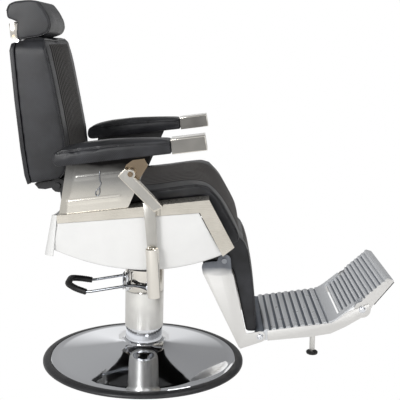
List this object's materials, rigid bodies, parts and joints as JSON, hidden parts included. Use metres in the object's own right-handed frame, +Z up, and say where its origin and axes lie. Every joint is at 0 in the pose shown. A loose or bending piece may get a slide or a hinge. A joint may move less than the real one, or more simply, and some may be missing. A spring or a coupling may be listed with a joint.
{
  "type": "hydraulic barber chair",
  "caption": "Reclining barber chair on a hydraulic column with a round base, channelled black upholstery, adjustable headrest, side recline lever and ribbed folding footrest.",
  "frame": {"origin": "on the floor, on the axis of the hydraulic column, at the centre of the base plate's underside", "axes": "+Z up; the chair faces -Y; +X is to the sitter's left, so the recline lever is at -X"},
  "size_m": [0.7508, 1.1679, 1.132],
  "materials": {
    "chrome": "polished",
    "stainless": "satin",
    "cast_aluminium": "polished on the rib crests",
    "dark_steel": "satin",
    "black_leather": "fine grained, semi-matt",
    "black_rubber": "matt",
    "white_gloss": "gloss",
    "plywood": "raw"
  },
  "bodies": {
    "root": {"base_plate": "dark_steel", "base_cover": "chrome", "base_ring": "black_rubber", "guide_tube": "chrome", "ram_rod": "chrome"},
    "lift": {"column_sleeve": "stainless", "pump_head": "chrome", "oil_cylinder": "dark_steel", "top_plate": "dark_steel", "pump_bracket": "chrome"},
    "pump": {"pump_handle": "chrome", "pump_grip": "black_rubber"},
    "swivel": {"swivel_plate": "dark_steel", "seat_frame": "dark_steel", "back_hinge_shaft": "chrome", "legrest_pin_right": "chrome", "legrest_pin_left": "chrome", "seat_board": "plywood", "seat_cushion": "black_leather", "side_skirt_right": "white_gloss", "side_skirt_left": "white_gloss", "rear_cover": "white_gloss", "rear_rail_right": "stainless", "rear_rail_left": "stainless", "front_rail_right": "stainless", "front_rail_left": "stainless", "arm_plate_right": "stainless", "arm_plate_left": "stainless", "arm_pad_right": "black_leather", "arm_pad_left": "black_leather", "arm_cap_right": "chrome", "arm_cap_left": "chrome", "lever_bracket": "chrome", "lever_pin": "chrome", "recline_cylinder": "dark_steel"},
    "lever": {"recline_lever": "stainless", "recline_grip": "chrome"},
    "back": {"back_frame": "dark_steel", "back_shell": "black_leather", "back_cushion": "black_leather", "headrest_guide": "chrome"},
    "headrest_slide": {"headrest_bar": "chrome"},
    "headrest_tilt": {"headrest_pad": "black_leather", "headrest_bracket": "chrome"},
    "strut_rod": {"recline_rod": "chrome"},
    "legrest": {"legrest_plate_right": "stainless", "legrest_plate_left": "stainless", "legrest_back_panel": "stainless", "legrest_top_plate": "chrome", "legrest_cushion": "black_leather"},
    "footrest": {"foot_rail_right": "stainless", "foot_rail_left": "stainless", "foot_platform": "cast_aluminium", "foot_shaft": "chrome", "flap_shaft": "chrome", "foot_post": "stainless", "foot_pad": "black_rubber"},
    "flap": {"flap_panel": "cast_aluminium", "flap_rubber": "black_rubber"}
  },
  "joints": [
    {"name": "column_lift", "type": "slide", "parent": "root", "child": "lift", "axis": [0, 0, 1], "range_m": [-0.022, 0.15]},
    {"name": "seat_swivel", "type": "hinge", "parent": "lift", "child": "swivel", "pos_m": [0, 0, 0.311], "axis": [0, 0, 1], "continuous": true},
    {"name": "pump_pedal", "type": "hinge", "parent": "lift", "child": "pump", "pos_m": [0, -0.018, 0.262], "axis": [1, 0, 0], "range_deg": [-14, 0], "stiffness_Nm_per_rad": 6, "springref_deg": 20.05},
    {"name": "recline_release", "type": "hinge", "parent": "swivel", "child": "lever", "pos_m": [-0.357, 0.016, 0.668], "axis": [1, 0, 0], "range_deg": [0, 22], "stiffness_Nm_per_rad": 6, "springref_deg": -17.19},
    {"name": "back_recline", "type": "hinge", "parent": "swivel", "child": "back", "pos_m": [0, 0.247, 0.598], "axis": [-1, 0, 0], "range_deg": [0, 50]},
    {"name": "recline_rod_slide", "type": "slide", "parent": "swivel", "child": "strut_rod", "axis": [0, 0.9386, 0.345], "range_m": [-0.043, 0]},
    {"name": "legrest_swing", "type": "hinge", "parent": "swivel", "child": "legrest", "pos_m": [0, -0.25, 0.385], "axis": [-1, 0, 0], "range_deg": [0, 55]},
    {"name": "footrest_fold", "type": "hinge", "parent": "legrest", "child": "footrest", "pos_m": [0, -0.366, 0.15], "axis": [-1, 0, 0], "range_deg": [0, 35]},
    {"name": "foot_flap_tilt", "type": "hinge", "parent": "footrest", "child": "flap", "pos_m": [0, -0.67, 0.245], "axis": [-1, 0, 0], "range_deg": [0, 38]},
    {"name": "headrest_height", "type": "slide", "parent": "back", "child": "headrest_slide", "axis": [0, 0.0985, 0.9951], "range_m": [0, 0.12]},
    {"name": "headrest_tilt", "type": "hinge", "parent": "headrest_slide", "child": "headrest_tilt", "pos_m": [0, 0.39, 1.046], "axis": [-1, 0, 0], "range_deg": [0, 30]}
  ],
  "couplings": [
    {"joint": "legrest_swing", "follows": "back_recline", "ratio": 1.1},
    {"joint": "recline_rod_slide", "follows": "back_recline", "m_per_rad": -0.04778}
  ]
}
